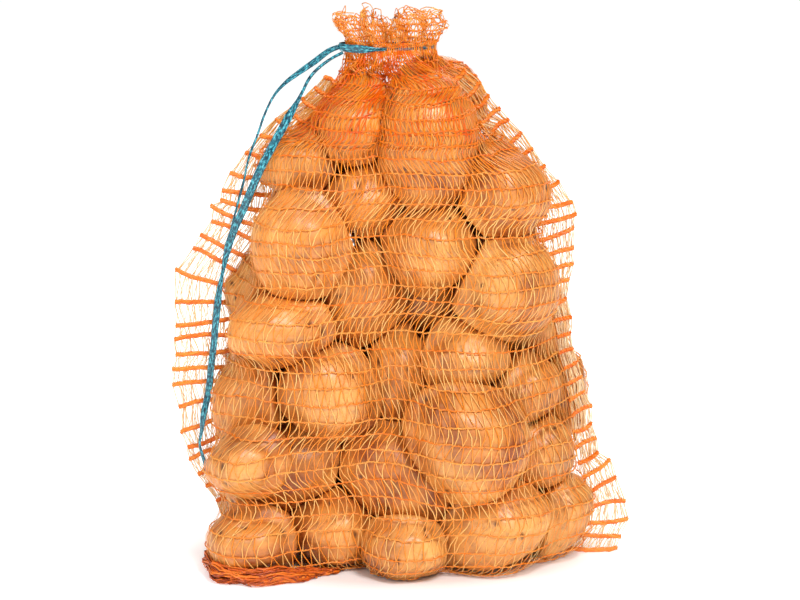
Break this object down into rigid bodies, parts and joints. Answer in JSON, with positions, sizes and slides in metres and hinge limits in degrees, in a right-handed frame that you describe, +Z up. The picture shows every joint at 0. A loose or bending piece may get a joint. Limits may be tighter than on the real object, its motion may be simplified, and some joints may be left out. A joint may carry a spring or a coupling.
{
  "type": "potato-filled mesh vegetable bag",
  "caption": "Upright knitted net bag packed with potatoes, its neck gathered shut by a flat drawstring tape with two hanging ends.",
  "frame": {"origin": "on the floor, under the middle of the bag, where the seam between the front and the back panel crosses the bag's width", "axes": "+Z up, -Y towards the front that the picture shows, +X to the right seen from the front"},
  "size_m": [0.3321, 0.1654, 0.3906],
  "materials": {
    "net": "knitted orange film net",
    "tape": "glossy teal film tape",
    "potato": "matt potato skin"
  },
  "bodies": {
    "root": {"net_front": "net", "net_back": "net", "side_flap_left": "net", "side_flap_right": "net", "bottom_hem": "net", "neck_ruffle": "net", "drawstring_loop": "tape", "drawstring_short_end": "tape", "drawstring_long_end": "tape", "potato_back_01": "potato", "potato_back_02": "potato", "potato_back_03": "potato", "potato_back_04": "potato", "potato_back_05": "potato", "potato_back_06": "potato", "potato_back_07": "potato", "potato_back_08": "potato", "potato_back_09": "potato", "potato_back_10": "potato", "potato_back_11": "potato", "potato_back_12": "potato", "potato_back_13": "potato", "potato_back_14": "potato", "potato_back_15": "potato", "potato_back_16": "potato", "potato_back_17": "potato", "potato_back_18": "potato", "potato_back_19": "potato", "potato_back_20": "potato", "potato_front_01": "potato", "potato_front_02": "potato", "potato_front_03": "potato", "potato_front_04": "potato", "potato_front_05": "potato", "potato_front_06": "potato", "potato_front_07": "potato", "potato_front_08": "potato", "potato_front_09": "potato", "potato_front_10": "potato", "potato_front_11": "potato", "potato_front_12": "potato", "potato_front_13": "potato", "potato_front_14": "potato", "potato_front_15": "potato", "potato_front_16": "potato", "potato_front_17": "potato", "potato_front_18": "potato", "potato_front_19": "potato", "potato_front_20": "potato", "potato_front_21": "potato", "potato_front_22": "potato", "potato_front_23": "potato", "potato_front_24": "potato", "potato_front_25": "potato", "potato_front_26": "potato"}
  },
  "joints": []
}
